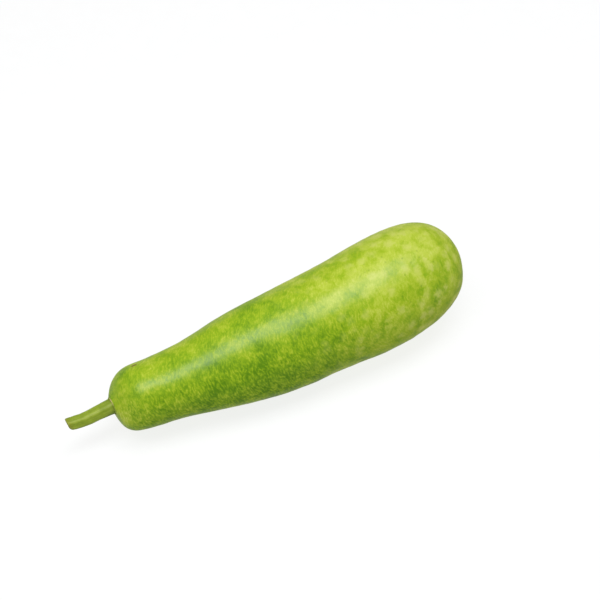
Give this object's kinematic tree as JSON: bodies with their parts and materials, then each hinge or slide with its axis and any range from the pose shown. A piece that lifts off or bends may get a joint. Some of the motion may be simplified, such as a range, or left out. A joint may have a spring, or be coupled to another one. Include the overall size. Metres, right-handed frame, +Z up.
{
  "type": "bottle gourd",
  "caption": "Whole pale green bottle gourd with a slim neck, a rounded blossom end and a short cut stalk, lying on its belly.",
  "frame": {"origin": "middle of the underside of the whole gourd's bounding box, on the surface that the belly lies on", "axes": "+X along the gourd, from the cut stalk to the blossom end; +Z up; +Y across, away from the side that the fruit bows to"},
  "size_m": [0.3468, 0.0924, 0.0902],
  "materials": {
    "rind": "satin",
    "stalk": "matte"
  },
  "bodies": {
    "root": {"fruit": "rind", "stalk": "stalk"}
  },
  "joints": []
}
